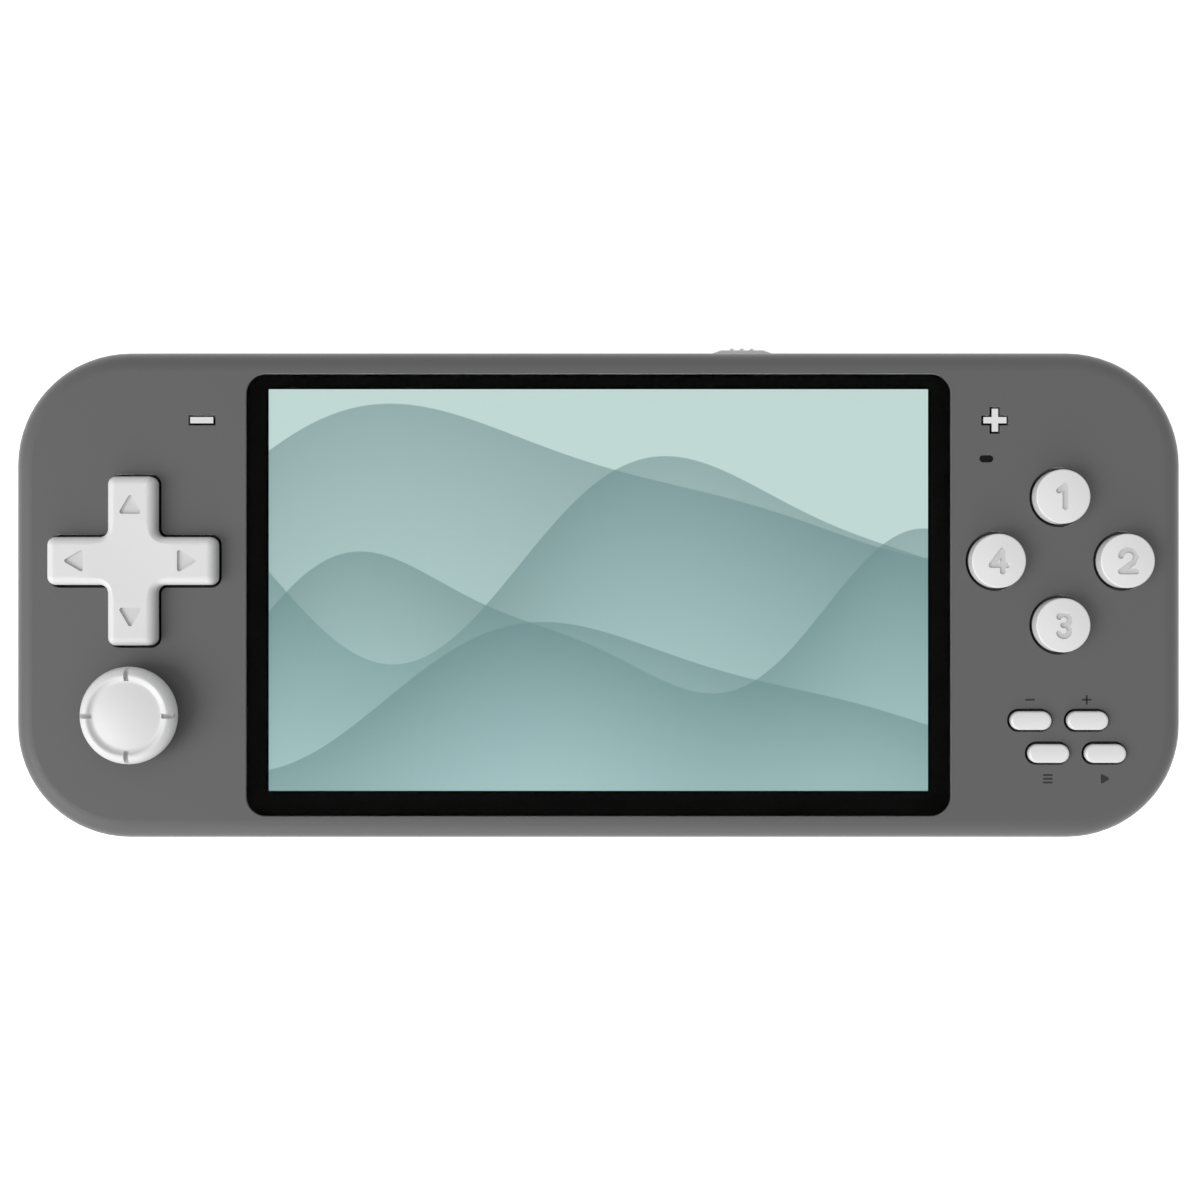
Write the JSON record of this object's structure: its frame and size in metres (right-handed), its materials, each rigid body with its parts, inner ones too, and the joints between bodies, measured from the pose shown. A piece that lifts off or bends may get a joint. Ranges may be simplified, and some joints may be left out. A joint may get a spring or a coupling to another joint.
{
  "type": "handheld game console",
  "caption": "Handheld game console with a wide screen, cross pad, analog stick, round action buttons, pill buttons, shoulder buttons and a slide switch, lying on its back.",
  "frame": {"origin": "middle of the flat rear face; the console lies on its back", "axes": "+X to the right of the screen, +Y to its top edge, +Z out of the screen"},
  "size_m": [0.1652, 0.0705, 0.0203],
  "materials": {
    "body_grey": "fine matt texture",
    "cap_white": "satin",
    "cover_glass": "clear, polished",
    "border_ink": "printed black",
    "display": "lit picture",
    "light_guide": "white film",
    "tray_metal": "pressed sheet",
    "foam": "matt foam",
    "ribbon": "amber film",
    "light_window": "smoked",
    "steel": "zinc plated",
    "rubber_grey": "matt silicone",
    "mechanism_black": "moulded",
    "mechanism_white": "moulded",
    "board_green": "solder mask",
    "chip_black": "moulded",
    "cell_film": "foil pouch",
    "tape": "adhesive tape",
    "wire_red": "insulated"
  },
  "bodies": {
    "root": {"front_shell": "body_grey", "rear_shell": "body_grey", "screen_lens": "cover_glass", "lens_border": "border_ink", "display_panel": "display", "display_backlight": "light_guide", "display_tray": "tray_metal", "display_foam": "foam", "display_ribbon": "ribbon", "status_lens": "light_window", "case_screws": "steel", "board_screws": "steel", "dpad_pivot_post": "mechanism_black", "dpad_membrane": "rubber_grey", "action_membrane": "rubber_grey", "menu_membrane": "rubber_grey", "face_tact_switches": "mechanism_black", "stick_base": "tray_metal", "stick_potentiometers": "mechanism_black", "stick_spring": "steel", "power_switch_body": "tray_metal", "shoulder_pins": "steel", "shoulder_switches": "mechanism_black", "usb_socket": "steel", "headphone_jack": "mechanism_black", "card_socket": "tray_metal", "main_board": "board_green", "battery": "cell_film", "battery_tape": "tape", "battery_leads": "wire_red", "speaker_left": "mechanism_black", "speaker_right": "mechanism_black", "speaker_leads": "wire_red", "board_chips": "chip_black", "board_connectors": "mechanism_white"},
    "dpad_ball": {"dpad_pivot_ball": "steel"},
    "dpad": {"dpad_cap": "cap_white"},
    "action_top": {"action_button_top": "cap_white"},
    "action_right": {"action_button_right": "cap_white"},
    "action_bottom": {"action_button_bottom": "cap_white"},
    "action_left": {"action_button_left": "cap_white"},
    "volume_down": {"volume_down_button": "cap_white"},
    "volume_up": {"volume_up_button": "cap_white"},
    "select": {"select_button": "cap_white"},
    "start": {"start_button": "cap_white"},
    "plus": {"plus_button": "cap_white"},
    "minus": {"minus_button": "cap_white"},
    "stick_yoke": {"stick_swing_yoke": "mechanism_white"},
    "stick": {"stick_cap": "cap_white", "stick_stem": "mechanism_white"},
    "stick_arch": {"stick_slotted_arch": "mechanism_black"},
    "power_switch": {"power_switch_knob": "cap_white", "power_switch_lever": "mechanism_black"},
    "left_shoulder": {"left_shoulder_button": "body_grey"},
    "right_shoulder": {"right_shoulder_button": "body_grey"}
  },
  "joints": [
    {"name": "dpad_rock_x", "type": "hinge", "parent": "root", "child": "dpad_ball", "pos_m": [-0.06535, 0.0048, 0.0125], "axis": [1, 0, 0], "range_deg": [-3.5, 3.5], "stiffness_Nm_per_rad": 0.1, "deforming": ["dpad_membrane"]},
    {"name": "dpad_rock_y", "type": "hinge", "parent": "dpad_ball", "child": "dpad", "pos_m": [-0.06535, 0.0048, 0.0125], "axis": [0, 1, 0], "range_deg": [-3.5, 3.5], "stiffness_Nm_per_rad": 0.1, "deforming": ["dpad_membrane"]},
    {"name": "action_top_press", "type": "slide", "parent": "root", "child": "action_top", "axis": [0, 0, -1], "range_m": [0, 0.0012], "stiffness_N_per_m": 600, "deforming": ["action_membrane"]},
    {"name": "action_right_press", "type": "slide", "parent": "root", "child": "action_right", "axis": [0, 0, -1], "range_m": [0, 0.0012], "stiffness_N_per_m": 600, "deforming": ["action_membrane"]},
    {"name": "action_bottom_press", "type": "slide", "parent": "root", "child": "action_bottom", "axis": [0, 0, -1], "range_m": [0, 0.0012], "stiffness_N_per_m": 600, "deforming": ["action_membrane"]},
    {"name": "action_left_press", "type": "slide", "parent": "root", "child": "action_left", "axis": [0, 0, -1], "range_m": [0, 0.0012], "stiffness_N_per_m": 600, "deforming": ["action_membrane"]},
    {"name": "volume_down_press", "type": "slide", "parent": "root", "child": "volume_down", "axis": [0, 0, -1], "range_m": [0, 0.0007], "stiffness_N_per_m": 900, "deforming": ["menu_membrane"]},
    {"name": "volume_up_press", "type": "slide", "parent": "root", "child": "volume_up", "axis": [0, 0, -1], "range_m": [0, 0.0007], "stiffness_N_per_m": 900, "deforming": ["menu_membrane"]},
    {"name": "select_press", "type": "slide", "parent": "root", "child": "select", "axis": [0, 0, -1], "range_m": [0, 0.0007], "stiffness_N_per_m": 900, "deforming": ["menu_membrane"]},
    {"name": "start_press", "type": "slide", "parent": "root", "child": "start", "axis": [0, 0, -1], "range_m": [0, 0.0007], "stiffness_N_per_m": 900, "deforming": ["menu_membrane"]},
    {"name": "plus_press", "type": "slide", "parent": "root", "child": "plus", "axis": [0, 0, -1], "range_m": [0, 0.0005], "stiffness_N_per_m": 1500},
    {"name": "minus_press", "type": "slide", "parent": "root", "child": "minus", "axis": [0, 0, -1], "range_m": [0, 0.0005], "stiffness_N_per_m": 1500},
    {"name": "stick_swing", "type": "hinge", "parent": "root", "child": "stick_yoke", "pos_m": [-0.06535, -0.01675, 0.0075], "axis": [0, 1, 0], "range_deg": [-12, 12], "stiffness_Nm_per_rad": 0.03, "deforming": ["stick_spring"]},
    {"name": "stick_tilt", "type": "hinge", "parent": "stick_yoke", "child": "stick", "pos_m": [-0.06535, -0.01675, 0.0075], "axis": [1, 0, 0], "range_deg": [-12, 12], "stiffness_Nm_per_rad": 0.03, "deforming": ["stick_spring"]},
    {"name": "stick_arch_turn", "type": "hinge", "parent": "root", "child": "stick_arch", "pos_m": [-0.06535, -0.01675, 0.0075], "axis": [1, 0, 0], "range_deg": [-12, 12]},
    {"name": "power_slide", "type": "slide", "parent": "root", "child": "power_switch", "axis": [-1, 0, 0], "range_m": [0, 0.002]},
    {"name": "left_shoulder_press", "type": "hinge", "parent": "root", "child": "left_shoulder", "pos_m": [-0.0444, 0.03122, 0.00562], "axis": [0, 0, 1], "range_deg": [0, 2.5], "stiffness_Nm_per_rad": 0.5},
    {"name": "right_shoulder_press", "type": "hinge", "parent": "root", "child": "right_shoulder", "pos_m": [0.0444, 0.03122, 0.00562], "axis": [0, 0, -1], "range_deg": [0, 2.5], "stiffness_Nm_per_rad": 0.5}
  ],
  "couplings": [
    {"joint": "stick_arch_turn", "follows": "stick_tilt", "ratio": 1}
  ]
}
